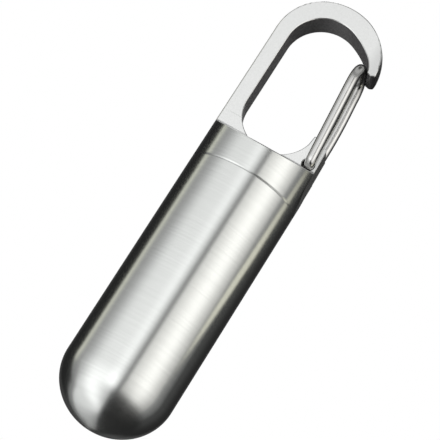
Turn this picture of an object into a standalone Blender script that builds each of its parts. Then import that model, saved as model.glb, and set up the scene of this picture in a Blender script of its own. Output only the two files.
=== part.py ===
"""A pill capsule: a round-bottomed steel tube that screws onto a cap with a hook.

The cap is one turned and milled piece: a collar, a threaded spigot below it and a flat hook
above it. A bent wire gate closes the mouth of the hook, and a rubber ring seals the spigot.

Metres, +Z up. The origin is where a key ring hangs: inside the crown of the hook, on the axis
of the capsule. The flat faces of the hook look along Y and its mouth opens towards +X.
"""

import math

import bmesh
import bpy
from mathutils import Vector

# Driving dimensions of the turned body
BODY_RADIUS = 0.0100
TUBE_STRAIGHT_LENGTH = 0.0388
DOME_HEIGHT = 0.0094
TUBE_WALL = 0.0015
EDGE_CHAMFER = 0.0002
SEAM_GAP = 0.0003

# The cap: collar, sloping shoulders and the flat slab of the hook
SHOULDER_DEPTH = 0.0265
COLLAR_HEIGHT = 0.0076
SHOULDER_SLOPE = math.radians(18.3)
SHOULDER_FILLET = 0.0004
SLAB_THICKNESS = 0.00574

# The metal round the hook's window, seen square to the slab
CROWN_THICKNESS = 0.00363
LEG_WIDTH = 0.00308
NOSE_SIDE_WIDTH = 0.00332
LUG_WIDTH = 0.00362
WINDOW_SINK = 0.00065
WINDOW_FLOOR_END = math.radians(345.0)

# The nose, which the gate closes against, and the lug, which carries the gate
NOSE_RELIEF_RADIUS = 0.0140
NOSE_RELIEF_START = math.radians(68.0)
NOSE_TIP_STRAIGHT = 0.00018
NOSE_TIP_WIDTH = 0.0014
LUG_TOP_SLANT = math.radians(28.0)
LUG_CORNER_RADIUS = 0.0007

# The wire gate
WIRE_RADIUS = 0.00085
GATE_GAP = 0.0003
GATE_TOP_LEAD = math.radians(5.2)
GATE_PIVOT_INSET = 0.0019
GATE_PIVOT_RISE = 0.0009
GATE_BEND_RADIUS = 0.0012
GATE_LEG_SPREAD = 0.0006
GATE_REAR_BOW = 0.0003
GATE_END_GAP = 0.0006
PIVOT_CLEARANCE = 0.00025

# The screwed joint and its seal
SPIGOT_LENGTH = 0.0078
THREAD_GAP = 0.0003
MOUTH_RELIEF = 0.0002
MOUTH_DEPTH = 0.0088
SPIGOT_CHAMFER = 0.0006
RING_SECTION_RADIUS = 0.0006
RING_GAP = 0.0003

# Fineness of the round forms
TURN_STEPS = 72
ARC_POINTS = 12
LONG_ARC_POINTS = 20
FILLET_POINTS = 5
HOLE_STEPS = 32
WIRE_BEVEL_RESOLUTION = 6
WIRE_FOOT_STEPS = 6
WIRE_LEG_STEPS = 12
WIRE_TOP_STEPS = 9
RING_STEPS = 12
SMOOTH_ANGLE = math.radians(30)
WIRE_SMOOTH_ANGLE = math.radians(50)
CUT_OVERRUN = 0.0020
MERGE_DISTANCE = 0.000001

# Places that follow from the sizes above
BALL_Z = CROWN_THICKNESS - BODY_RADIUS
CROWN_INNER_RADIUS = BODY_RADIUS - (LEG_WIDTH + NOSE_SIDE_WIDTH) / 2
CROWN_CENTRE = ((LEG_WIDTH - NOSE_SIDE_WIDTH) / 2, -CROWN_INNER_RADIUS)
WINDOW_FLOOR_Z = -SHOULDER_DEPTH - WINDOW_SINK
WINDOW_FLOOR_RADIUS = BODY_RADIUS - (LEG_WIDTH + LUG_WIDTH) / 2
FLOOR_CENTRE = ((LEG_WIDTH - LUG_WIDTH) / 2, WINDOW_FLOOR_Z + WINDOW_FLOOR_RADIUS)
SLAB_FACE = SLAB_THICKNESS / 2
SEAM_Z = -SHOULDER_DEPTH - COLLAR_HEIGHT
COLLAR_FACE_Z = SEAM_Z + SEAM_GAP / 2
MOUTH_Z = SEAM_Z - SEAM_GAP / 2
DOME_Z = MOUTH_Z - TUBE_STRAIGHT_LENGTH
BORE_RADIUS = BODY_RADIUS - TUBE_WALL
MOUTH_RADIUS = BORE_RADIUS + MOUTH_RELIEF
SPIGOT_RADIUS = MOUTH_RADIUS - THREAD_GAP
GROOVE_HEIGHT = 2 * (RING_SECTION_RADIUS + RING_GAP)
GROOVE_RADIUS = SPIGOT_RADIUS - 2 * RING_SECTION_RADIUS
RING_PITCH_RADIUS = GROOVE_RADIUS + RING_GAP + RING_SECTION_RADIUS
GATE_SIDE = SLAB_FACE + GATE_GAP + WIRE_RADIUS
PIVOT = Vector((BODY_RADIUS - GATE_PIVOT_INSET, 0, GATE_PIVOT_RISE - SHOULDER_DEPTH))


def polar(centre, radius, angle):
    return (centre[0] + radius * math.cos(angle), centre[1] + radius * math.sin(angle))


def arc(centre, radius, start, end, points=ARC_POINTS):
    """Points along an arc, both ends included, angles from +X towards +Z."""
    return [polar(centre, radius, start + (end - start) * i / (points - 1)) for i in range(points)]


def fillet(before, corner, after, radius, points=FILLET_POINTS):
    """The round that replaces a corner between two straight edges."""
    back = (Vector(before) - Vector(corner)).normalized()
    ahead = (Vector(after) - Vector(corner)).normalized()
    half = back.angle(ahead) / 2
    turn = math.pi - 2 * half
    centre = Vector(corner) + (back + ahead).normalized() * radius / math.sin(half)
    first = Vector(corner) + back * radius / math.tan(half) - centre
    last = Vector(corner) + ahead * radius / math.tan(half) - centre
    rounded = []
    for i in range(points):
        share = i / (points - 1)
        spoke = first * math.sin((1 - share) * turn) + last * math.sin(share * turn)
        rounded.append(tuple(centre + spoke.normalized() * radius))
    return rounded


def new_collection(name):
    made = bpy.data.collections.new(name)
    bpy.context.scene.collection.children.link(made)
    return made


def steel(name, colour, roughness, metallic=1.0):
    material = bpy.data.materials.new(name)
    material.use_nodes = True
    shader = material.node_tree.nodes["Principled BSDF"]
    shader.inputs["Base Color"].default_value = (*colour, 1.0)
    shader.inputs["Roughness"].default_value = roughness
    shader.inputs["Metallic"].default_value = metallic
    return material


def place(obj, collection, material=None):
    collection.objects.link(obj)
    if material:
        obj.data.materials.append(material)
    return obj


def smooth_by_angle(obj, angle=SMOOTH_ANGLE):
    obj.data.shade_smooth()
    obj.data.set_sharp_from_angle(angle=angle)


def settle(obj):
    """Apply the modifiers of an object and shade the result smooth between its sharp edges."""
    depsgraph = bpy.context.evaluated_depsgraph_get()
    mesh = bpy.data.meshes.new_from_object(obj.evaluated_get(depsgraph))
    obj.modifiers.clear()
    obj.data = mesh
    smooth_by_angle(obj)


def turned(name, profile, collection, material):
    """Turn a profile of (radius, z) points about Z; it starts and ends on the axis."""
    mesh = bpy.data.meshes.new(name)
    points = [(radius, 0, z) for radius, z in profile]
    mesh.from_pydata(points, [(i, i + 1) for i in range(len(points) - 1)], [])
    obj = place(bpy.data.objects.new(name, mesh), collection, material)
    screw = obj.modifiers.new("turning", "SCREW")
    screw.axis = "Z"
    screw.steps = TURN_STEPS
    screw.render_steps = TURN_STEPS
    screw.use_merge_vertices = True
    screw.merge_threshold = MERGE_DISTANCE
    return obj


def outline_cutter(name, outline, length, collection):
    """A flat outline in X and Z, as a solid that runs along Y through the origin."""
    curve = bpy.data.curves.new(name, "CURVE")
    curve.dimensions = "2D"
    curve.fill_mode = "BOTH"
    curve.extrude = length / 2
    spline = curve.splines.new("POLY")
    spline.points.add(len(outline) - 1)
    for point, (x, z) in zip(spline.points, outline):
        point.co = (x, z, 0, 1)
    spline.use_cyclic_u = True
    flat = place(bpy.data.objects.new(name, curve), collection)
    flat.rotation_euler.x = math.radians(90)
    return meshed(flat, collection)


def meshed(curve_object, collection):
    """Change a curve object into a closed mesh object with the same name and place."""
    bpy.context.view_layer.update()
    depsgraph = bpy.context.evaluated_depsgraph_get()
    mesh = bpy.data.meshes.new_from_object(curve_object.evaluated_get(depsgraph))
    weld = bmesh.new()
    weld.from_mesh(mesh)
    bmesh.ops.remove_doubles(weld, verts=weld.verts, dist=MERGE_DISTANCE)
    bmesh.ops.recalc_face_normals(weld, faces=weld.faces)
    weld.to_mesh(mesh)
    weld.free()
    name = curve_object.name
    matrix = curve_object.matrix_world.copy()
    curve = curve_object.data
    bpy.data.objects.remove(curve_object)
    bpy.data.curves.remove(curve)
    obj = place(bpy.data.objects.new(name, mesh), collection)
    obj.matrix_world = matrix
    return obj


def cut(obj, cutter):
    cutter.hide_render = True
    cutter.display_type = "WIRE"
    boolean = obj.modifiers.new(cutter.name, "BOOLEAN")
    boolean.operation = "DIFFERENCE"
    boolean.solver = "EXACT"
    boolean.object = cutter


def capsule_tube(collection, material):
    """The tube: open mouth with a wider stretch for the thread, straight bore, round bottom."""
    bore_dome = DOME_HEIGHT - TUBE_WALL
    inside = []
    for x, z in arc((0, 0), 1.0, math.radians(-90), 0):
        inside.append((BORE_RADIUS * x, DOME_Z + bore_dome * z))
    outside = []
    for x, z in arc((0, 0), 1.0, 0, math.radians(-90)):
        outside.append((BODY_RADIUS * x, DOME_Z + DOME_HEIGHT * z))
    ledge_z = MOUTH_Z - MOUTH_DEPTH
    seal_seat = 2 * RING_SECTION_RADIUS + RING_GAP
    seal_radius = RING_PITCH_RADIUS + RING_SECTION_RADIUS + RING_GAP
    seal_step = seal_radius - MOUTH_RADIUS
    mouth = [
        (BORE_RADIUS, ledge_z - MOUTH_RELIEF),
        (MOUTH_RADIUS, ledge_z),
        (MOUTH_RADIUS, MOUTH_Z - seal_seat - seal_step),
        (seal_radius, MOUTH_Z - seal_seat),
        (seal_radius, MOUTH_Z),
        (BODY_RADIUS - EDGE_CHAMFER, MOUTH_Z),
        (BODY_RADIUS, MOUTH_Z - EDGE_CHAMFER),
    ]
    inside[0] = (0, inside[0][1])
    outside[-1] = (0, outside[-1][1])
    tube = turned("capsule_tube", inside + mouth + outside, collection, material)
    settle(tube)
    return tube


def head_blank(collection, material):
    """The cap as it leaves the lathe: a ball-ended bar with a collar, a groove and a spigot."""
    crown = arc((0, BALL_Z), BODY_RADIUS, math.radians(90), 0)
    crown[0] = (0, crown[0][1])
    groove_z = COLLAR_FACE_Z - GROOVE_HEIGHT
    spigot_end = COLLAR_FACE_Z - SPIGOT_LENGTH
    below = [
        (BODY_RADIUS, COLLAR_FACE_Z + EDGE_CHAMFER),
        (BODY_RADIUS - EDGE_CHAMFER, COLLAR_FACE_Z),
        (GROOVE_RADIUS, COLLAR_FACE_Z),
        (GROOVE_RADIUS, groove_z),
        (SPIGOT_RADIUS - EDGE_CHAMFER, groove_z),
        (SPIGOT_RADIUS, groove_z - EDGE_CHAMFER),
        (SPIGOT_RADIUS, spigot_end + SPIGOT_CHAMFER),
        (SPIGOT_RADIUS - SPIGOT_CHAMFER, spigot_end),
        (0, spigot_end),
    ]
    return turned("hook_cap", crown + below, collection, material)


def shoulder_outline(side):
    """What the mill takes off one side of the bar, as points in Y and Z."""
    far = BODY_RADIUS + CUT_OVERRUN
    top = BODY_RADIUS + CUT_OVERRUN
    drop = (far - SLAB_FACE) * math.tan(SHOULDER_SLOPE)
    root = (SLAB_FACE, -SHOULDER_DEPTH)
    low = (far, -SHOULDER_DEPTH - drop)
    high = (SLAB_FACE, top)
    outline = [high] + fillet(high, root, low, SHOULDER_FILLET) + [low, (far, top)]
    return [(side * y, z) for y, z in outline]


def nose_relief():
    """The flatter arc inside the nose: its centre, and the angle where it meets the tip."""
    centre = polar(CROWN_CENTRE, CROWN_INNER_RADIUS - NOSE_RELIEF_RADIUS, NOSE_RELIEF_START)
    reach = BODY_RADIUS - NOSE_TIP_WIDTH - centre[0]
    return centre, math.acos(reach / NOSE_RELIEF_RADIUS)


def window_outline():
    """The window and the mouth of the hook in one closed outline, in X and Z."""
    relief, relief_end = nose_relief()
    tip_radius = NOSE_TIP_WIDTH / 2
    tip_z = polar(relief, NOSE_RELIEF_RADIUS, relief_end)[1] - NOSE_TIP_STRAIGHT
    tip = (BODY_RADIUS - tip_radius, tip_z)
    outside = BODY_RADIUS + CUT_OVERRUN
    lug_corner = (BODY_RADIUS - LUG_WIDTH, FLOOR_CENTRE[1])
    lug_run = outside - lug_corner[0]
    lug_outside = (outside, lug_corner[1] - lug_run * math.tan(LUG_TOP_SLANT))
    lug_below = (lug_corner[0], lug_corner[1] - WINDOW_FLOOR_RADIUS)
    floor = arc(FLOOR_CENTRE, WINDOW_FLOOR_RADIUS, math.pi, WINDOW_FLOOR_END, LONG_ARC_POINTS)
    lug_top = fillet(lug_below, lug_corner, lug_outside, LUG_CORNER_RADIUS)
    mouth = [lug_outside, (outside, tip_z)]
    nose_tip = arc(tip, tip_radius, 0, -math.pi)
    nose_inside = arc(relief, NOSE_RELIEF_RADIUS, relief_end, NOSE_RELIEF_START)
    crown = arc(CROWN_CENTRE, CROWN_INNER_RADIUS, NOSE_RELIEF_START, math.pi, LONG_ARC_POINTS)
    return floor + lug_top + mouth + nose_tip + nose_inside + crown[1:]


def hook_cap(collection, cutters, material):
    """The cap: both flats milled off the bar, then the window and the gate's hole through it."""
    cap = head_blank(collection, material)
    across = 2 * (BODY_RADIUS + CUT_OVERRUN)
    for side, word in ((-1, "front"), (1, "back")):
        flat = outline_cutter(f"{word}_flat_cut", shoulder_outline(side), across, cutters)
        flat.rotation_euler.z = math.radians(90)
        cut(cap, flat)
    cut(cap, outline_cutter("window_cut", window_outline(), across, cutters))
    bpy.ops.mesh.primitive_cylinder_add(
        vertices=HOLE_STEPS,
        radius=WIRE_RADIUS + PIVOT_CLEARANCE,
        depth=SLAB_THICKNESS + CUT_OVERRUN,
        location=PIVOT,
        rotation=(math.radians(90), 0, 0),
    )
    hole = bpy.context.object
    hole.name = "gate_hole_cut"
    for owner in hole.users_collection:
        owner.objects.unlink(hole)
    cutters.objects.link(hole)
    cut(cap, hole)
    bpy.context.view_layer.update()
    settle(cap)
    return cap


def gate_top():
    """The highest point of the gate's centre line, where it rests under the nose."""
    relief, relief_end = nose_relief()
    reach = NOSE_RELIEF_RADIUS - GATE_GAP - WIRE_RADIUS
    x, z = polar(relief, reach, relief_end + GATE_TOP_LEAD)
    return Vector((x, 0, z))


def gate_half(side, top):
    """One half of the gate's centre line: pin, bent foot, leg and a quarter of the top bend."""
    along = (top - PIVOT).normalized()
    across = Vector((along.z, 0, -along.x))
    bend_start = top - along * GATE_SIDE
    spread = Vector((0, side * GATE_SIDE, 0)) + across * side * GATE_LEG_SPREAD / 2
    foot = PIVOT + Vector((0, side * GATE_SIDE, 0))
    leg_end = bend_start + spread
    leg = (leg_end - foot).normalized()
    inward = Vector((0, -side, 0))
    foot_centre = foot + (leg + inward) * GATE_BEND_RADIUS
    half = [PIVOT + Vector((0, side * GATE_END_GAP / 2, 0))]
    for i in range(WIRE_FOOT_STEPS + 1):
        turn = math.radians(90) * i / WIRE_FOOT_STEPS
        spoke = -leg * math.cos(turn) - inward * math.sin(turn)
        half.append(foot_centre + spoke * GATE_BEND_RADIUS)
    leg_start = half[-1]
    bow = GATE_REAR_BOW if side > 0 else 0
    for i in range(1, WIRE_LEG_STEPS + 1):
        share = i / WIRE_LEG_STEPS
        half.append(leg_start.lerp(leg_end, share) + across * bow * math.sin(math.pi * share))
    for i in range(1, WIRE_TOP_STEPS):
        turn = math.radians(90) * i / WIRE_TOP_STEPS
        half.append(bend_start + spread * math.cos(turn) + along * GATE_SIDE * math.sin(turn))
    return half


def gate_path():
    """The whole centre line of the gate, front half first, counted from the pivot."""
    top = gate_top()
    path = gate_half(-1, top) + [top] + gate_half(1, top)[::-1]
    return [point - PIVOT for point in path]


def gate_wire(collection, material):
    curve = bpy.data.curves.new("gate_wire", "CURVE")
    curve.dimensions = "3D"
    curve.bevel_depth = WIRE_RADIUS
    curve.bevel_resolution = WIRE_BEVEL_RESOLUTION
    curve.use_fill_caps = True
    path = gate_path()
    spline = curve.splines.new("POLY")
    spline.points.add(len(path) - 1)
    for point, place_on_path in zip(spline.points, path):
        point.co = (*place_on_path, 1)
    wire = place(bpy.data.objects.new("gate_wire", curve), collection)
    wire.location = PIVOT
    gate = meshed(wire, collection)
    gate.data.materials.clear()
    gate.data.materials.append(material)
    smooth_by_angle(gate, WIRE_SMOOTH_ANGLE)
    return gate


def seal_ring(collection, material):
    bpy.ops.mesh.primitive_torus_add(
        major_segments=TURN_STEPS,
        minor_segments=RING_STEPS,
        major_radius=RING_PITCH_RADIUS,
        minor_radius=RING_SECTION_RADIUS,
        location=(0, 0, COLLAR_FACE_Z - GROOVE_HEIGHT / 2),
    )
    ring = bpy.context.object
    ring.name = "seal_ring"
    for owner in ring.users_collection:
        owner.objects.unlink(ring)
    place(ring, collection, material)
    ring.data.shade_smooth()
    return ring


def main():
    for obj in list(bpy.data.objects):
        bpy.data.objects.remove(obj)
    parts = new_collection("pill_capsule")
    cutters = new_collection("cutters")
    capsule_tube(parts, steel("tube_steel", (0.63, 0.62, 0.60), 0.24))
    hook_cap(parts, cutters, steel("cap_steel", (0.66, 0.66, 0.65), 0.30))
    gate_wire(parts, steel("spring_wire", (0.60, 0.60, 0.59), 0.12))
    seal_ring(parts, steel("seal_rubber", (0.02, 0.02, 0.02), 0.6, metallic=0.0))


main()
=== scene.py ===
"""Studio picture of a steel pill capsule that hangs by a milled hook with a sprung wire gate."""

import math

import bpy
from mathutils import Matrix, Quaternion, Vector


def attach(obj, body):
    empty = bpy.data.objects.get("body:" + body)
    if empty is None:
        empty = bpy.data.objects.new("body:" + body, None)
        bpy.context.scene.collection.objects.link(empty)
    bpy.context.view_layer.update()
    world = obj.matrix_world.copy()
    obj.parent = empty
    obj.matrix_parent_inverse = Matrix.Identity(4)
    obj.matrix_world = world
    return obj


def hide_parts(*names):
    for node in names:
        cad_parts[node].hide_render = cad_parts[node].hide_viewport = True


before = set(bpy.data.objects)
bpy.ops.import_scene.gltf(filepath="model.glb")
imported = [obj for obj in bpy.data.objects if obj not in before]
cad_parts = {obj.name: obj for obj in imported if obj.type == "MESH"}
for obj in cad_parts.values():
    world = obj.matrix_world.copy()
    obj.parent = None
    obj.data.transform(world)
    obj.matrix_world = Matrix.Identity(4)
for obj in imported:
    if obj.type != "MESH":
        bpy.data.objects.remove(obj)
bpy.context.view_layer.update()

# The camera stands in front of the capsule and a little below it, and is rolled so that the
# hook points to the upper right of the picture. It looks at the capsule's axis.
CAMERA_AIM = Vector((-0.00025, 0, -0.04080))
CAMERA_DISTANCE = 0.31078
CAMERA_AZIMUTH = math.radians(10.487)
CAMERA_ELEVATION = math.radians(-16.196)
CAMERA_ROLL = math.radians(32.479)
CAMERA_LENS = 151.27
CAMERA_NEAR = 0.01

bpy.ops.object.select_all(action="DESELECT")
level = math.cos(CAMERA_ELEVATION)
towards_camera = Vector((
    math.sin(CAMERA_AZIMUTH) * level,
    -math.cos(CAMERA_AZIMUTH) * level,
    math.sin(CAMERA_ELEVATION),
))
bpy.ops.object.camera_add(location=CAMERA_AIM + towards_camera * CAMERA_DISTANCE)
camera = bpy.context.object
camera.name = "photo_camera"
camera.rotation_mode = "QUATERNION"
level_view = (-towards_camera).to_track_quat("-Z", "Y")
camera.rotation_quaternion = level_view @ Quaternion((0, 0, 1), CAMERA_ROLL)
camera.data.lens = CAMERA_LENS
camera.data.clip_start = CAMERA_NEAR
bpy.context.scene.camera = camera
bpy.context.scene.view_settings.view_transform = "Standard"

# The cap is one piece of stainless steel. It is turned from bar with a ball end and a threaded
# spigot, then milled flat on both sides, and the window, the nose and the lug are milled
# through it. The tube screws onto the spigot.
BODY_RADIUS = 0.0100
CROWN_TOP = 0.00363
CROWN_FULLNESS = 0.018
SLAB_FACE = 0.00287
SHOULDER_Z = -0.0265
SHOULDER_SLOPE = math.radians(18.3)
SHOULDER_FILLET = 0.0004
MILL_MARK_Z = -0.02395
MILL_MARK_SIZE = 0.00005
SEAM_Z = -0.0341
SEAM_HALF_GAP = 0.00003
COLLAR_CHAMFER_HEIGHT = 0.00026
COLLAR_CHAMFER_WIDTH = 0.00014
GROOVE_RADIUS = 0.0072
GROOVE_LOW_Z = -0.03575
SPIGOT_CORE_RADIUS = 0.0080
SPIGOT_END_Z = -0.04175
SPIGOT_CHAMFER = 0.0006
CORE_SINK = 0.0001
THREAD_PITCH = 0.0010
THREAD_CREST = 0.00020
THREAD_FLANK = 0.00029
THREAD_DEPTH = 0.00050
MALE_MAJOR_RADIUS = 0.00875
THREAD_START_Z = -0.0451
CROWN_CENTRE = (-0.00012, -0.0068)
CROWN_INNER_RADIUS = 0.0068
FLOOR_CENTRE = (-0.00027, -0.0205)
FLOOR_RADIUS = 0.00665
FLOOR_END = 345
RELIEF_CENTRE = (-0.002817, -0.013476)
RELIEF_RADIUS = 0.0140
RELIEF_START = 68
RELIEF_END = 48
GATE_SEAT_RADIUS = 0.0050
GATE_SEAT_END = 13
NOSE_HEEL_RADIUS = 0.0004
NOSE_END_CENTRE = (0.0088, -0.0049)
NOSE_END_RADIUS = 0.00118
NOSE_END_SLANT = 4
LUG_CORNER = (0.0063, -0.0204)
LUG_CORNER_RADIUS = 0.0002
LUG_TOP_SLANT = math.radians(25)
LUG_SIDE_TOP = (0.00936, -0.0204)
LUG_SIDE_LOW = (0.00962, -0.0295)
LUG_SIDE_END_Z = -0.0330
PIVOT = Vector((0.0081, 0, -0.0256))
GATE_HOLE_RADIUS = 0.0011
GATE_HOLE_SHIFT = 0.0002
GATE_HOLE_STEPS = 64
EDGE_CHAMFER = 0.00014
SLIVER = 0.00002
SHARP = math.radians(28)
LATHE_STEPS = 192
THREAD_STEPS = 96
SPARE_TURNS = 2
ROUND_POINTS = 48
CORNER_POINTS = 10
WELD = 0.000001
OVERRUN = 0.002


def polar(centre, radius, degrees):
    """The point at a radius and an angle from a centre."""
    angle = math.radians(degrees)
    return (centre[0] + radius * math.cos(angle), centre[1] + radius * math.sin(angle))


def arc(centre, radius, start, end, points):
    """Points along an arc, ends included; the angles are in degrees."""
    return [polar(centre, radius, start + (end - start) * i / (points - 1)) for i in range(points)]


def round_corner(before, corner, after, radius):
    """The arc that replaces the corner between two straight runs of an outline."""
    corner = Vector(corner)
    back = (Vector(before) - corner).normalized()
    ahead = (Vector(after) - corner).normalized()
    half = back.angle(ahead) / 2
    centre = corner + (back + ahead).normalized() * radius / math.sin(half)
    first = corner + back * radius / math.tan(half) - centre
    last = corner + ahead * radius / math.tan(half) - centre
    spokes = [first.lerp(last, i / (CORNER_POINTS - 1)) for i in range(CORNER_POINTS)]
    return [tuple(centre + spoke.normalized() * radius) for spoke in spokes]


def draw_chain(name, points):
    """A new mesh of edges, drawn by extruding a vertex from point to point. Stays in edit mode."""
    bpy.ops.mesh.primitive_plane_add(size=BODY_RADIUS, calc_uvs=False)
    drawn = bpy.context.object
    drawn.name = name
    drawn.data.name = name
    bpy.ops.object.mode_set(mode="EDIT")
    bpy.ops.mesh.merge(type="CENTER")
    bpy.ops.transform.translate(value=points[0])
    for before, after in zip(points, points[1:]):
        step = Vector(after) - Vector(before)
        bpy.ops.mesh.extrude_vertices_move(TRANSFORM_OT_translate={"value": step})
    bpy.ops.mesh.select_all(action="SELECT")
    return drawn


def weld_and_face_out():
    """Merge the doubles of the mesh in edit mode, turn its faces outward and leave edit mode."""
    bpy.ops.mesh.select_all(action="SELECT")
    bpy.ops.mesh.remove_doubles(threshold=WELD)
    bpy.ops.mesh.normals_make_consistent(inside=False)
    bpy.ops.object.mode_set(mode="OBJECT")


def turn_on_lathe(name, profile):
    """Spin a chain of (radius, height) points round the capsule's axis. Stays in edit mode."""
    turned = draw_chain(name, [(radius, 0, height) for radius, height in profile])
    bpy.ops.mesh.spin(steps=LATHE_STEPS, angle=2 * math.pi, center=(0, 0, 0), axis=(0, 0, 1))
    return turned


def block_tool(name, outline, run):
    """A cutting tool: a closed outline of points, filled and extruded by one run."""
    tool = draw_chain(name, outline)
    bpy.ops.mesh.edge_face_add()
    bpy.ops.mesh.extrude_region_move(TRANSFORM_OT_translate={"value": run})
    weld_and_face_out()
    return tool


def machine(piece, tool, operation="DIFFERENCE"):
    """Cut a tool out of a piece, or join it to the piece, and throw the tool away."""
    boolean = piece.modifiers.new(tool.name, "BOOLEAN")
    boolean.operation = operation
    boolean.solver = "EXACT"
    boolean.object = tool
    bpy.context.view_layer.objects.active = piece
    bpy.ops.object.modifier_apply(modifier=boolean.name)
    bpy.data.objects.remove(tool)


def threaded_rod(name, major, low, high):
    """A rod with a right-handed thread: one tooth's outline, screwed round and sawn off square."""
    minor = major - THREAD_DEPTH
    root = (THREAD_PITCH - THREAD_CREST) / 2 - THREAD_FLANK
    tooth = [
        (minor, 0, 0),
        (minor, 0, root),
        (major, 0, root + THREAD_FLANK),
        (major, 0, root + THREAD_FLANK + THREAD_CREST),
        (minor, 0, THREAD_PITCH - root),
        (minor, 0, THREAD_PITCH),
    ]
    rod = draw_chain(name, tooth)
    bpy.ops.transform.translate(value=(0, 0, THREAD_START_Z))
    bpy.ops.object.mode_set(mode="OBJECT")
    screw = rod.modifiers.new("turns", "SCREW")
    screw.screw_offset = THREAD_PITCH
    screw.iterations = math.ceil((high - THREAD_START_Z) / THREAD_PITCH) + SPARE_TURNS
    screw.steps = THREAD_STEPS
    screw.render_steps = THREAD_STEPS
    bpy.ops.object.modifier_apply(modifier=screw.name)
    bpy.ops.object.mode_set(mode="EDIT")
    bpy.ops.mesh.select_all(action="SELECT")
    bpy.ops.mesh.remove_doubles(threshold=WELD)
    for height, side in ((low, -1), (high, 1)):
        bpy.ops.mesh.select_all(action="SELECT")
        bpy.ops.mesh.bisect(
            plane_co=(0, 0, height), plane_no=(0, 0, side), threshold=WELD,
            use_fill=True, clear_outer=True,
        )
    weld_and_face_out()
    return rod


def chamfer_sharp_edges(piece, width, wanted):
    """Chamfer the sharp edges of a piece whose two ends both pass the test called wanted."""
    bpy.context.view_layer.objects.active = piece
    bpy.ops.object.mode_set(mode="EDIT")
    bpy.ops.mesh.select_mode(type="EDGE")
    bpy.ops.mesh.select_all(action="SELECT")
    bpy.ops.mesh.remove_doubles(threshold=SLIVER)
    bpy.ops.mesh.select_all(action="DESELECT")
    bpy.ops.mesh.edges_select_sharp(sharpness=SHARP)
    bpy.ops.object.mode_set(mode="OBJECT")
    corners = piece.data.vertices
    for edge in piece.data.edges:
        edge.select = edge.select and all(wanted(corners[end].co) for end in edge.vertices)
    bpy.ops.object.mode_set(mode="EDIT")
    bpy.ops.mesh.bevel(offset=width, segments=1, clamp_overlap=False)
    bpy.ops.mesh.select_mode(type="VERT")
    weld_and_face_out()


def smooth(piece):
    """Shade a piece smooth between its sharp edges, with the large faces kept flat."""
    bpy.ops.object.select_all(action="DESELECT")
    piece.select_set(True)
    bpy.context.view_layer.objects.active = piece
    bpy.ops.object.shade_smooth_by_angle(angle=SHARP)
    weighted = piece.modifiers.new("weighted normals", "WEIGHTED_NORMAL")
    weighted.keep_sharp = True
    bpy.ops.object.modifier_apply(modifier=weighted.name)


def crown_radius(angle):
    """The crown's outside radius: a ball, a little fuller half way between its top and its side."""
    return BODY_RADIUS * (1 + CROWN_FULLNESS * math.sin(2 * angle))


ball_centre = (0, CROWN_TOP - BODY_RADIUS)
collar_face = SEAM_Z + SEAM_HALF_GAP
crown_steps = LATHE_STEPS // 4
blank_profile = [(0, CROWN_TOP)]
for step in range(1, crown_steps + 1):
    angle = 90 - 90 * step / crown_steps
    blank_profile.append(polar(ball_centre, crown_radius(math.radians(angle)), angle))
blank_profile += [
    (BODY_RADIUS, collar_face + COLLAR_CHAMFER_HEIGHT),
    (BODY_RADIUS - COLLAR_CHAMFER_WIDTH, collar_face),
    (GROOVE_RADIUS, collar_face),
    (GROOVE_RADIUS, GROOVE_LOW_Z - CORE_SINK),
    (SPIGOT_CORE_RADIUS, GROOVE_LOW_Z - CORE_SINK),
    (SPIGOT_CORE_RADIUS, SPIGOT_END_Z + CORE_SINK),
    (0, SPIGOT_END_Z + CORE_SINK),
]
cap = turn_on_lathe("hook_cap_steel", blank_profile)
weld_and_face_out()

reach = BODY_RADIUS + OVERRUN
for side, word in ((-1, "front"), (1, "back")):
    root = (side * SLAB_FACE, SHOULDER_Z)
    low = (side * reach, SHOULDER_Z - (reach - SLAB_FACE) * math.tan(SHOULDER_SLOPE))
    flat = [(side * reach, reach), (side * SLAB_FACE, reach)]
    flat += round_corner(flat[-1], root, low, SHOULDER_FILLET) + [low]
    outline = [(-reach, y, z) for y, z in flat]
    machine(cap, block_tool(f"{word}_flat_mill", outline, (2 * reach, 0, 0)))

lug_run = reach - LUG_CORNER[0]
lug_outside = (reach, LUG_CORNER[1] - lug_run * math.tan(LUG_TOP_SLANT))
lug_below = (LUG_CORNER[0], LUG_CORNER[1] - FLOOR_RADIUS)
window = arc(FLOOR_CENTRE, FLOOR_RADIUS, 180, FLOOR_END, ROUND_POINTS)
window += round_corner(lug_below, LUG_CORNER, lug_outside, LUG_CORNER_RADIUS)
nose_end = arc(NOSE_END_CENTRE, NOSE_END_RADIUS, -NOSE_END_SLANT, -90, CORNER_POINTS)
nose_rise = (reach - nose_end[0][0]) / math.tan(math.radians(NOSE_END_SLANT))
seat_centre = polar(RELIEF_CENTRE, RELIEF_RADIUS - GATE_SEAT_RADIUS, RELIEF_END)
heel_centre = polar(seat_centre, GATE_SEAT_RADIUS + NOSE_HEEL_RADIUS, GATE_SEAT_END)
window += [lug_outside, (reach, nose_end[0][1] + nose_rise)] + nose_end
window += arc(heel_centre, NOSE_HEEL_RADIUS, -90, GATE_SEAT_END - 180, CORNER_POINTS)
window += arc(seat_centre, GATE_SEAT_RADIUS, GATE_SEAT_END, RELIEF_END, CORNER_POINTS)[1:]
window += arc(RELIEF_CENTRE, RELIEF_RADIUS, RELIEF_END, RELIEF_START, CORNER_POINTS)[1:]
window += arc(CROWN_CENTRE, CROWN_INNER_RADIUS, RELIEF_START, 180, ROUND_POINTS)[1:]
window = [(x, -reach, z) for x, z in window]
machine(cap, block_tool("window_mill", window, (0, 2 * reach, 0)))
bpy.ops.mesh.primitive_cylinder_add(
    vertices=GATE_HOLE_STEPS, radius=GATE_HOLE_RADIUS, depth=2 * reach,
    location=PIVOT - Vector((GATE_HOLE_SHIFT, 0, 0)), rotation=(math.pi / 2, 0, 0),
)
machine(cap, bpy.context.object)
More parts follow.
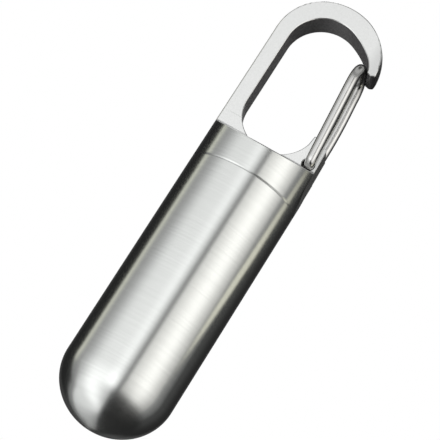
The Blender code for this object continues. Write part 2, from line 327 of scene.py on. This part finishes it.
side_slope = (BODY_RADIUS - LUG_SIDE_LOW[0]) / (LUG_SIDE_LOW[1] - LUG_SIDE_END_Z)
side_end = (reach, LUG_SIDE_LOW[1] - (reach - LUG_SIDE_LOW[0]) / side_slope)
lug_side = [(LUG_SIDE_TOP[0], -reach), (reach, -reach), side_end, LUG_SIDE_LOW, LUG_SIDE_TOP]
lug_side = [(x, -reach, z) for x, z in lug_side]
machine(cap, block_tool("lug_side_mill", lug_side, (0, 2 * reach, 0)))
lowest_shoulder = SHOULDER_Z - reach * math.tan(SHOULDER_SLOPE)
chamfer_sharp_edges(cap, EDGE_CHAMFER, lambda corner: (
    abs(abs(corner.y) - SLAB_FACE) < SLIVER or lowest_shoulder < corner.z < LUG_CORNER[1]
))
# A hairline crosses the left leg, where two passes of the mill meet.
for side in (-1, 1):
    mark = [(0, MILL_MARK_SIZE), (-MILL_MARK_SIZE, 0), (0, -MILL_MARK_SIZE), (MILL_MARK_SIZE, 0)]
    outline = [(-reach, side * SLAB_FACE + y, MILL_MARK_Z + z) for y, z in mark]
    machine(cap, block_tool("mill_mark_tool", outline, (reach, 0, 0)))
male_thread = threaded_rod("male_thread", MALE_MAJOR_RADIUS, SPIGOT_END_Z, GROOVE_LOW_Z)
machine(cap, male_thread, "UNION")

chamfer_ring = [
    (MALE_MAJOR_RADIUS - SPIGOT_CHAMFER, SPIGOT_END_Z),
    (MALE_MAJOR_RADIUS + SPIGOT_CHAMFER, SPIGOT_END_Z + 2 * SPIGOT_CHAMFER),
    (MALE_MAJOR_RADIUS + SPIGOT_CHAMFER, SPIGOT_END_Z - SPIGOT_CHAMFER),
    (MALE_MAJOR_RADIUS - SPIGOT_CHAMFER, SPIGOT_END_Z - SPIGOT_CHAMFER),
    (MALE_MAJOR_RADIUS - SPIGOT_CHAMFER, SPIGOT_END_Z),
]
turning_tool = turn_on_lathe("spigot_chamfer_tool", chamfer_ring)
weld_and_face_out()
machine(cap, turning_tool)
smooth(cap)


GRAIN_DEPTH = 0.00002
BRUSHING_PER_METRE = (80, 80, 6000)


def linear(hex_colour):
    """An sRGB colour such as D0CECA as the linear values that a shader takes."""
    channels = [int(hex_colour[i:i + 2], 16) / 255 for i in (0, 2, 4)]
    red, green, blue = [
        c / 12.92 if c <= 0.04045 else ((c + 0.055) / 1.055) ** 2.4 for c in channels
    ]
    return (red, green, blue, 1)


def add_node(tree, kind, inputs, **settings):
    """Add a shader node with its settings; each input is a value or another node's output."""
    node = tree.nodes.new("ShaderNode" + kind)
    for name, value in settings.items():
        setattr(node, name, value)
    for name, value in inputs.items():
        if isinstance(value, bpy.types.NodeSocket):
            tree.links.new(value, node.inputs[name])
        else:
            node.inputs[name].default_value = value
    return node


def new_material(name):
    """An empty node material, with its output node."""
    material = bpy.data.materials.new(name)
    material.use_nodes = True
    material.node_tree.nodes.clear()
    return material, material.node_tree, add_node(material.node_tree, "OutputMaterial", {})


def turned_steel(name, colour, dark_colour, roughness, streak, slant):
    """Stainless steel with the fine rings of turning and brushing round the capsule's axis.

    The rings run round the axis, so the highlight is drawn out along it. Slant says which way
    the surface runs off its cylinder: +1 for a round bottom, -1 for a round top. The rings are
    drawn a sixth of a millimetre apart, coarser than real brushing, which no pixel could show.
    """
    material, tree, output = new_material(name)
    place = add_node(tree, "TexCoord", {}).outputs["Object"]
    parts = add_node(tree, "SeparateXYZ", {"Vector": place})
    level = add_node(tree, "VectorMath", {0: place, 1: (1, 1, 0)}, operation="MULTIPLY")
    radius = add_node(tree, "VectorMath", {0: level.outputs["Vector"]}, operation="LENGTH")
    slanted = add_node(tree, "Math", {0: radius.outputs["Value"], 1: slant}, operation="MULTIPLY")
    along = add_node(tree, "Math", {
        0: parts.outputs["Z"], 1: slanted.outputs["Value"],
    }, operation="ADD")
    round_place = add_node(tree, "CombineXYZ", {
        "X": parts.outputs["X"], "Y": parts.outputs["Y"], "Z": along.outputs["Value"],
    })
    rings = add_node(tree, "VectorMath", {
        0: round_place.outputs["Vector"], 1: BRUSHING_PER_METRE,
    }, operation="MULTIPLY")
    brushing = add_node(tree, "TexNoise", {
        "Vector": rings.outputs["Vector"], "Scale": 1, "Detail": 2, "Roughness": 0.6,
    })
    spread = add_node(tree, "MapRange", {
        "Value": brushing.outputs["Fac"], "From Min": 0.3, "From Max": 0.7,
    })
    tint = add_node(tree, "Mix", {
        "Factor": spread.outputs["Result"], 6: linear(dark_colour), 7: linear(colour),
    }, data_type="RGBA")
    bump = add_node(tree, "Bump", {
        "Height": brushing.outputs["Fac"], "Strength": streak, "Distance": GRAIN_DEPTH,
    })
    drawn_round = add_node(tree, "Tangent", {}, direction_type="RADIAL", axis="Z")
    metal = add_node(tree, "BsdfPrincipled", {
        "Base Color": tint.outputs[2],
        "Metallic": 1,
        "Roughness": roughness,
        "Anisotropic": 0.7,
        "Anisotropic Rotation": 0.25,
        "Tangent": drawn_round.outputs["Tangent"],
        "Normal": bump.outputs["Normal"],
    })
    tree.links.new(metal.outputs["BSDF"], output.inputs["Surface"])
    return material


def milled_steel(name, colour, dark_colour, roughness, grain, stretch, nose_shade_colour=None):
    """Stainless steel as the mill leaves it: an even satin with a fine grain.

    Stretch is the number of grains in a metre along each axis. They are a quarter to two thirds
    of a millimetre wide, coarser than real mill marks, which no pixel could show. With a nose
    shade colour, shade is painted into the steel's colour, darker towards the nose.
    """
    material, tree, output = new_material(name)
    place = add_node(tree, "TexCoord", {}).outputs["Object"]
    stretched = add_node(tree, "VectorMath", {0: place, 1: stretch}, operation="MULTIPLY")
    cuts = add_node(tree, "TexNoise", {
        "Vector": stretched.outputs["Vector"], "Scale": 1, "Detail": 3, "Roughness": 0.6,
    })
    spread = add_node(tree, "MapRange", {
        "Value": cuts.outputs["Fac"], "From Min": 0.3, "From Max": 0.7,
    })
    tint = add_node(tree, "Mix", {
        "Factor": spread.outputs["Result"], 6: linear(dark_colour), 7: linear(colour),
    }, data_type="RGBA")
    if nose_shade_colour:
        parts = add_node(tree, "SeparateXYZ", {"Vector": place})
        nose_shade_mask = add_node(tree, "MapRange", {
            "Value": parts.outputs["X"], "From Min": NOSE_SHADE_START_X, "From Max": NOSE_SHADE_END_X,
        }, interpolation_type="SMOOTHSTEP")
        # Painted shade: the colour darkens towards the nose.
        tint = add_node(tree, "Mix", {
            "Factor": nose_shade_mask.outputs["Result"], 6: tint.outputs[2], 7: linear(nose_shade_colour),
        }, data_type="RGBA")
    bump = add_node(tree, "Bump", {
        "Height": cuts.outputs["Fac"], "Strength": grain, "Distance": GRAIN_DEPTH,
    })
    metal = add_node(tree, "BsdfPrincipled", {
        "Base Color": tint.outputs[2],
        "Metallic": 1,
        "Roughness": roughness,
        "Normal": bump.outputs["Normal"],
    })
    tree.links.new(metal.outputs["BSDF"], output.inputs["Surface"])
    return material


# The cap's four surfaces. The turned crown and collar keep the rings of the lathe. The milled
# flats are an even satin, their colour darkened towards the nose as painted shade. The window's
# walls are rougher and stay dark grey, and the end of the nose is painted darker still as shade.
# Where the painted shade on the flats starts and ends along x.
NOSE_SHADE_START_X = 0.0064
NOSE_SHADE_END_X = 0.0088
FACING = 0.5

cap.data.materials.clear()
cap.data.materials.append(turned_steel(
    "turned_stainless_cap", "D3D5D3", "CDCFCD", roughness=0.25, streak=0.045, slant=-1,
))
# The flats darken towards the nose with painted shade.
cap.data.materials.append(milled_steel(
    "milled_stainless_flat", "DADBDA", "D3D4D3", roughness=0.28, grain=0.06,
    stretch=(4000, 4000, 4000), nose_shade_colour="C5C6C5",
))
cap.data.materials.append(milled_steel(
    "milled_stainless_wall", "D8D7D8", "B2B1B3", roughness=0.38, grain=0.25,
    stretch=(2500, 1500, 2500),
))
# The end of the nose: a dark colour painted in as shade.
cap.data.materials.append(milled_steel(
    "painted_shade_nose_end", "9C9B9C", "7C7B7D", roughness=0.36, grain=0.30,
    stretch=(3000, 1500, 3000),
))
TURNED, FLAT, WALL, NOSE_END = range(4)
heel_left = heel_centre[0] - NOSE_HEEL_RADIUS
for face in cap.data.polygons:
    face.material_index = TURNED
    x, y, z = face.center
    across = math.hypot(x, y)
    height = max(z - ball_centre[1], 0)
    skin_radius = crown_radius(math.atan2(height, across))
    outside = math.hypot(across, height) > skin_radius - EDGE_CHAMFER / 3
    if z < collar_face + COLLAR_CHAMFER_HEIGHT or outside:
        continue
    if abs(face.normal.y) > FACING or z < LUG_CORNER[1] and x > LUG_SIDE_TOP[0] - SLIVER:
        face.material_index = FLAT
    elif abs(y) > SLAB_FACE - EDGE_CHAMFER / 2:
        face.material_index = FLAT
    # Faces at the end of the nose take the painted shade colour.
    elif x > heel_left and z > LUG_CORNER[1]:
        face.material_index = NOSE_END
    else:
        face.material_index = WALL
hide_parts("hook_cap")
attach(cap, "cap")

# The tube is stainless steel, turned all over: a straight wall, a round bottom, a female thread
# inside its mouth and a plain seat for the rubber ring above the thread. It unscrews from the
# cap. Its outside is brushed on the lathe, so its highlights run along it.
DOME_Z = -0.07305
DOME_HEIGHT = 0.0094
TUBE_WALL = 0.0015
MOUTH_ROUND = 0.00010
SEAT_RADIUS = 0.0090
SEAT_DEPTH = 0.0015
SEAT_CONE = 0.0003
FEMALE_MAJOR_RADIUS = 0.00895
THREAD_END_Z = -0.04305
DOME_POINTS = 56

bore = BODY_RADIUS - TUBE_WALL
mouth = SEAM_Z - SEAM_HALF_GAP
seat_low = mouth - SEAT_DEPTH
dome = arc((0, 0), 1, 0, -90, DOME_POINTS)
outside_dome = [(BODY_RADIUS * x, DOME_Z + DOME_HEIGHT * z) for x, z in dome[:-1]]
inside_dome = [(bore * x, DOME_Z + (DOME_HEIGHT - TUBE_WALL) * z) for x, z in dome[:-1]]
tube_profile = [(0, DOME_Z - DOME_HEIGHT + TUBE_WALL)] + inside_dome[::-1]
tube_profile += [
    (bore, seat_low - SEAT_CONE - (SEAT_RADIUS - bore)),
    (SEAT_RADIUS, seat_low - SEAT_CONE),
    (SEAT_RADIUS, mouth - MOUTH_ROUND),
    (SEAT_RADIUS + MOUTH_ROUND, mouth),
]
mouth_corner = (BODY_RADIUS - MOUTH_ROUND, mouth - MOUTH_ROUND)
tube_profile += arc(mouth_corner, MOUTH_ROUND, 90, 0, CORNER_POINTS // 2)
tube_profile += outside_dome + [(0, DOME_Z - DOME_HEIGHT)]
tube = turn_on_lathe("capsule_tube_steel", tube_profile)
weld_and_face_out()
thread_top = seat_low - SEAT_CONE
female_thread = threaded_rod("female_thread", FEMALE_MAJOR_RADIUS, THREAD_END_Z, thread_top)
machine(tube, female_thread)
smooth(tube)
tube.data.materials.clear()
tube.data.materials.append(turned_steel(
    "brushed_stainless_tube", "D3D5D3", "CDCFCD", roughness=0.25, streak=0.045, slant=1,
))
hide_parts("capsule_tube")
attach(tube, "tube")

# The gate is one length of polished spring wire, bent to a narrow U. Its two turned-in ends sit
# in the hole through the lug, and its top presses up under the nose.
WIRE_RADIUS = 0.0009
WIRE_ROUNDNESS = 12
WIRE_SHARP = math.radians(50)
GATE_CLEARANCE = 0.0003
GATE_SIDE = SLAB_FACE + GATE_CLEARANCE + WIRE_RADIUS
GATE_TOP = Vector((0.006945, 0, -0.00512))
GATE_BEND_RADIUS = 0.0012
GATE_LEG_SPREAD = 0.0007
GATE_REAR_BOW = 0.00026
GATE_REAR_SHIFT = 0.00006
GATE_BEND_FULLNESS = 0.85
GATE_END_GAP = 0.0006
FOOT_STEPS = 16
LEG_STEPS = 24
TOP_STEPS = 28


def gate_half(side):
    """Half of the wire's middle line: turned-in end, foot bend, leg and half of the top bend.

    Side is -1 for the front half and 1 for the rear one, whose leg is bowed a little.
    """
    along = (GATE_TOP - PIVOT).normalized()
    across = Vector((along.z, 0, -along.x))
    inward = Vector((0, -side, 0))
    spread = -inward * GATE_SIDE + across * side * GATE_LEG_SPREAD / 2
    bend_start = GATE_TOP - along * GATE_SIDE
    leg_end = bend_start + spread
    shift = across * (GATE_REAR_SHIFT if side > 0 else 0)
    foot = PIVOT - inward * GATE_SIDE + shift
    leg = (leg_end - foot).normalized()
    foot_centre = foot + (leg + inward) * GATE_BEND_RADIUS
    half = [PIVOT - inward * GATE_END_GAP / 2 + shift]
    for i in range(FOOT_STEPS + 1):
        turn = math.pi / 2 * i / FOOT_STEPS
        spoke = leg * math.cos(turn) + inward * math.sin(turn)
        half.append(foot_centre - spoke * GATE_BEND_RADIUS)
    leg_start = half[-1]
    bow = GATE_REAR_BOW if side > 0 else 0
    for i in range(1, LEG_STEPS + 1):
        share = i / LEG_STEPS
        half.append(leg_start.lerp(leg_end, share) + across * bow * math.sin(math.pi * share))
    for i in range(1, TOP_STEPS):
        turn = math.pi / 2 * i / TOP_STEPS
        outward = math.cos(turn) ** GATE_BEND_FULLNESS
        upward = math.sin(turn) ** GATE_BEND_FULLNESS
        half.append(bend_start + spread * outward + along * GATE_SIDE * upward)
    return half


gate = draw_chain("gate_wire_steel", gate_half(-1) + [GATE_TOP] + gate_half(1)[::-1])
bpy.ops.object.mode_set(mode="OBJECT")
bpy.ops.object.convert(target="CURVE")
gate = bpy.context.object
gate.data.bevel_depth = WIRE_RADIUS
gate.data.bevel_resolution = WIRE_ROUNDNESS
gate.data.use_fill_caps = True
bpy.ops.object.convert(target="MESH")
gate = bpy.context.object
bpy.ops.object.mode_set(mode="EDIT")
weld_and_face_out()
bpy.ops.object.shade_smooth_by_angle(angle=WIRE_SHARP)

# Polished spring wire: smooth but not quite a mirror, with faint scratches along it from the
# die it was drawn through, so it shows the room in narrow, soft bright and dark lines. Its
# colour darkens towards its bend under the nose: painted shade.
# The heights between which painted shade darkens the wire towards its bend.
BEND_SHADE_LOW_Z = -0.0105
BEND_SHADE_HIGH_Z = -0.0070
# The scratches are drawn a sixth of a millimetre apart, as fine as a pixel can show.
SCRATCHES_PER_METRE = (6000, 6000, 400)

wire_steel, tree, output = new_material("polished_spring_wire")
place = add_node(tree, "TexCoord", {}).outputs["Object"]
stretched = add_node(tree, "VectorMath", {0: place, 1: SCRATCHES_PER_METRE}, operation="MULTIPLY")
scratches = add_node(tree, "TexNoise", {
    "Vector": stretched.outputs["Vector"], "Scale": 1, "Detail": 2,
})
bump = add_node(tree, "Bump", {
    "Height": scratches.outputs["Fac"], "Strength": 0.02, "Distance": GRAIN_DEPTH,
})
tint = add_node(tree, "Mix", {
    "Factor": scratches.outputs["Fac"], 6: linear("BEBEBD"), 7: linear("D6D6D4"),
}, data_type="RGBA")
parts = add_node(tree, "SeparateXYZ", {"Vector": place})
# Painted shade: the colour darkens towards the bend under the nose.
bend_shade_mask = add_node(tree, "MapRange", {
    "Value": parts.outputs["Z"], "From Min": BEND_SHADE_LOW_Z, "From Max": BEND_SHADE_HIGH_Z,
})
bend_shaded_tint = add_node(tree, "Mix", {
    "Factor": bend_shade_mask.outputs["Result"], 6: tint.outputs[2], 7: linear("A4A4A2"),
}, data_type="RGBA")
metal = add_node(tree, "BsdfPrincipled", {
    "Base Color": bend_shaded_tint.outputs[2],
    "Metallic": 1,
    "Roughness": 0.21,
    "Normal": bump.outputs["Normal"],
})
tree.links.new(metal.outputs["BSDF"], output.inputs["Surface"])
gate.data.materials.clear()
gate.data.materials.append(wire_steel)
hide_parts("gate_wire")
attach(gate, "gate")

# The seal is a moulded rubber O-ring in the groove at the root of the spigot. A thin line of
# flash runs round its outside and inside, where the two halves of its mould met.
RING_PITCH_RADIUS = 0.0081
RING_SECTION_RADIUS = 0.0006
RING_Z = -0.03485
FLASH_HEIGHT = 0.00003
RING_POINTS = 41

ring_profile = arc((RING_PITCH_RADIUS, RING_Z), RING_SECTION_RADIUS, 0, 360, RING_POINTS)
outer_flash = (RING_PITCH_RADIUS + RING_SECTION_RADIUS + FLASH_HEIGHT, RING_Z)
inner_flash = (RING_PITCH_RADIUS - RING_SECTION_RADIUS - FLASH_HEIGHT, RING_Z)
ring_profile[0] = outer_flash
ring_profile[-1] = outer_flash
ring_profile[RING_POINTS // 2] = inner_flash
ring = turn_on_lathe("seal_ring_rubber", ring_profile)
weld_and_face_out()
smooth(ring)

# Black nitrile rubber: a dull surface with a fine uneven bloom, so it never glints like the
# steel. The bloom is drawn two thirds of a millimetre across, coarser than a real one.
BLOOM_PER_METRE = 1500

rubber, tree, output = new_material("black_nitrile_rubber")
place = add_node(tree, "TexCoord", {}).outputs["Object"]
bloom = add_node(tree, "TexNoise", {"Vector": place, "Scale": BLOOM_PER_METRE, "Detail": 3})
tint = add_node(tree, "Mix", {
    "Factor": bloom.outputs["Fac"], 6: linear("191919"), 7: linear("2B2B2A"),
}, data_type="RGBA")
bump = add_node(tree, "Bump", {
    "Height": bloom.outputs["Fac"], "Strength": 0.2, "Distance": GRAIN_DEPTH,
})
skin = add_node(tree, "BsdfPrincipled", {
    "Base Color": tint.outputs[2], "Roughness": 0.55, "Normal": bump.outputs["Normal"],
})
tree.links.new(skin.outputs["BSDF"], output.inputs["Surface"])
ring.data.materials.clear()
ring.data.materials.append(rubber)
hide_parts("seal_ring")
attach(ring, "seal")

# The studio. Steel shows only its surroundings, so the light is a tent of curved cards that the
# camera doesn't see: softboxes left and right of a dark gap, a cream strip at the far left, a
# pale ceiling in front and dark flags elsewhere.
TENT_RADIUS = 0.55
CARD_STEP = 4
LOW_GAIN_Z = -TENT_RADIUS / 2
FULL_GAIN_Z = TENT_RADIUS / 6


def light_card(name, azimuths, elevations, levels, hot_azimuth, low_gain=1, colour="FFFFFF"):
    """A curved card of the tent. Its levels are those at its left side, hot spot and right side.

    Azimuths are in degrees from the front, positive towards the right, and elevations in degrees
    from level. Low gain multiplies the light towards the card's lower end. Past the back, where
    the azimuth starts again from -180, a card keeps the level of its left side.
    """
    across = azimuths[1] - azimuths[0]
    upward = elevations[1] - elevations[0]
    rows = math.ceil(upward / CARD_STEP) + 1
    edge = arc((0, 0), TENT_RADIUS, elevations[0], elevations[1], rows)
    turn_start = math.radians(azimuths[0] - 90)
    start_x, start_y = math.cos(turn_start), math.sin(turn_start)
    card = draw_chain(name, [
        (radius * start_x, radius * start_y, height) for radius, height in edge
    ])
    bpy.ops.mesh.spin(
        steps=math.ceil(across / CARD_STEP), angle=math.radians(across),
        center=(0, 0, 0), axis=(0, 0, -1),
    )
    bpy.ops.object.mode_set(mode="OBJECT")
    card.visible_camera = False
    material, tree, output = new_material(name)
    place = add_node(tree, "TexCoord", {}).outputs["Object"]
    parts = add_node(tree, "SeparateXYZ", {"Vector": place})
    depth = add_node(tree, "Math", {0: parts.outputs["Y"], 1: -1}, operation="MULTIPLY")
    azimuth = add_node(tree, "Math", {
        0: parts.outputs["X"], 1: depth.outputs["Value"],
    }, operation="ARCTAN2")
    rise = add_node(tree, "MapRange", {
        "Value": azimuth.outputs["Value"],
        "From Min": math.radians(azimuths[0]),
        "From Max": math.radians(hot_azimuth),
        "To Min": levels[0] - levels[1],
        "To Max": 0,
    }, interpolation_type="SMOOTHSTEP")
    fall = add_node(tree, "MapRange", {
        "Value": azimuth.outputs["Value"],
        "From Min": math.radians(hot_azimuth),
        "From Max": math.radians(azimuths[1]),
        "To Min": levels[1],
        "To Max": levels[2],
    }, interpolation_type="SMOOTHSTEP")
    even = add_node(tree, "Math", {
        0: rise.outputs["Result"], 1: fall.outputs["Result"],
    }, operation="ADD")
    low = add_node(tree, "MapRange", {
        "Value": parts.outputs["Z"],
        "From Min": LOW_GAIN_Z,
        "From Max": FULL_GAIN_Z,
        "To Min": low_gain,
        "To Max": 1,
    })
    strength = add_node(tree, "Math", {
        0: even.outputs["Value"], 1: low.outputs["Result"],
    }, operation="MULTIPLY")
    glow = add_node(tree, "Emission", {
        "Color": linear(colour), "Strength": strength.outputs["Value"],
    })
    tree.links.new(glow.outputs["Emission"], output.inputs["Surface"])
    card.data.materials.append(material)


light_card("left_softbox", (-79, -20), (-38, 32), (0.46, 1.09, 1.13), -38, 1.5)
light_card("left_softbox_edge", (-20, 12), (-38, 32), (1.11, 1.38, 0.78), 0, 1.5)
light_card("left_low_softbox", (-90, 6), (-90, -38), (0.95, 1.80, 0.75), -44, 0.95)
light_card("left_reflector", (-88, -79), (-12, 32), (0.54, 0.40, 0.40), -81)
light_card("left_strip", (-99, -88), (-12, 32), (0.84, 0.97, 0.62), -95, 1, "FFFFF0")
light_card("left_strip_end", (-99, -79), (-38, -12), (0.32, 0.34, 0.45), -90)
light_card("gap_flag", (12, 22), (-38, 32), (0.56, 0.12, 0.46), 18)
light_card("low_gap_flag", (6, 22), (-90, -38), (0.20, 0.07, 0.04), 14)
light_card("right_softbox", (22, 91), (-36, 32), (1.08, 1.73, 0.78), 57, 0.8, "FFFDFA")
light_card("right_reflector", (91, 118), (-36, 32), (0.36, 0.25, 0.05), 103)
light_card("side_flag", (118, 165), (-38, 32), (0.08, 0.03, 0.02), 146)
light_card("back_wall", (165, 219), (-38, 32), (0.06, 0.24, 0.05), 202)
light_card("left_side_flag", (219, 261), (-38, 32), (0.02, 0.02, 0.02), 240)
light_card("back_low_softbox", (-175, -90), (-90, -48), (0.45, 1.10, 1.10), -92)
light_card("back_low_reflector", (-165, -90), (-48, -38), (0.20, 0.30, 0.30), -120)
light_card("low_right_flag", (22, 185), (-90, -36), (0.02, 0.015, 0.03), 90)
light_card("upper_flag", (-180, 180), (32, 48), (0.50, 0.50, 0.50), 0)
light_card("front_ceiling", (-130, 130), (48, 72), (0.90, 0.90, 0.90), 0)
light_card("back_ceiling", (130, 230), (48, 72), (0.20, 0.15, 0.20), 180)
light_card("zenith_flag", (-180, 180), (72, 89), (0.15, 0.15, 0.15), 0)

# A cardboard strip stands close to the capsule's right side and leans. Its reflection narrows
# towards the round bottom and stops short of it, and it fades out on the collar.
STRIP_PLACE = Vector((0.0370, 0.0050, 0))
STRIP_OUTLINE = [
    (-0.0080, -0.0580), (-0.0052, -0.0580), (-0.0030, -0.0550), (0.0014, -0.0460), (0.0041, -0.0370),
    (0.0042, -0.0160), (-0.0016, -0.0160), (-0.0034, -0.0290), (-0.0046, -0.0360), (-0.0068, -0.0460),
]
STRIP_FADE_LOW_Z = -0.0340
STRIP_FADE_HIGH_Z = -0.0160
STRIP_COLLAR_LEVEL = 0.55

strip_side = Vector((0, 0, 1)).cross(STRIP_PLACE).normalized()
strip = draw_chain("near_strip", [
    STRIP_PLACE + strip_side * across + Vector((0, 0, height)) for across, height in STRIP_OUTLINE
])
bpy.ops.mesh.edge_face_add()
bpy.ops.object.mode_set(mode="OBJECT")
strip.visible_camera = False
card_paper, tree, output = new_material("near_strip_cardboard")
place = add_node(tree, "TexCoord", {}).outputs["Object"]
parts = add_node(tree, "SeparateXYZ", {"Vector": place})
fade = add_node(tree, "MapRange", {
    "Value": parts.outputs["Z"],
    "From Min": STRIP_FADE_LOW_Z,
    "From Max": STRIP_FADE_HIGH_Z,
    "To Min": 1,
    "To Max": STRIP_COLLAR_LEVEL,
})
glow = add_node(tree, "Emission", {"Color": linear("FFFCEA"), "Strength": fade.outputs["Result"]})
tree.links.new(glow.outputs["Emission"], output.inputs["Surface"])
strip.data.materials.append(card_paper)

# A pale floor of paper lies far below, too far to catch the capsule's shadow. The camera sees it
# as plain white.
FLOOR_SIZE = 6
FLOOR_Z = -0.7

bpy.ops.mesh.primitive_plane_add(size=FLOOR_SIZE, location=(0, 0, FLOOR_Z))
floor = bpy.context.object
floor.name = "studio_floor"
paper, tree, output = new_material("white_paper_floor")
sheet = add_node(tree, "BsdfDiffuse", {"Color": linear("F4F4F2")})
glow = add_node(tree, "Emission", {"Color": (1, 1, 1, 1), "Strength": 1})
rays = add_node(tree, "LightPath", {})
seen = add_node(tree, "MixShader", {
    0: rays.outputs["Is Camera Ray"], 1: sheet.outputs["BSDF"], 2: glow.outputs["Emission"],
})
tree.links.new(seen.outputs["Shader"], output.inputs["Surface"])
floor.data.materials.append(paper)

# The room is plain white. The camera and reflections see it at full white; it lights dull
# surfaces at a lower, even level.
DULL_ROOM_LEVEL = 0.6

world = bpy.data.worlds.new("white_room")
world.use_nodes = True
bpy.context.scene.world = world
tree = world.node_tree
tree.nodes.clear()
output = add_node(tree, "OutputWorld", {})
rays = add_node(tree, "LightPath", {})
camera_or_glossy = add_node(tree, "Math", {
    0: rays.outputs["Is Camera Ray"], 1: rays.outputs["Is Glossy Ray"],
}, operation="MAXIMUM")
clear_rays = add_node(tree, "Math", {
    0: camera_or_glossy.outputs["Value"], 1: rays.outputs["Is Transmission Ray"],
}, operation="MAXIMUM")
dull = add_node(tree, "Background", {"Color": (1, 1, 1, 1), "Strength": DULL_ROOM_LEVEL})
white = add_node(tree, "Background", {"Color": (1, 1, 1, 1), "Strength": 1})
room = add_node(tree, "MixShader", {
    0: clear_rays.outputs["Value"], 1: dull.outputs["Background"], 2: white.outputs["Background"],
})
tree.links.new(room.outputs["Shader"], output.inputs["Surface"])
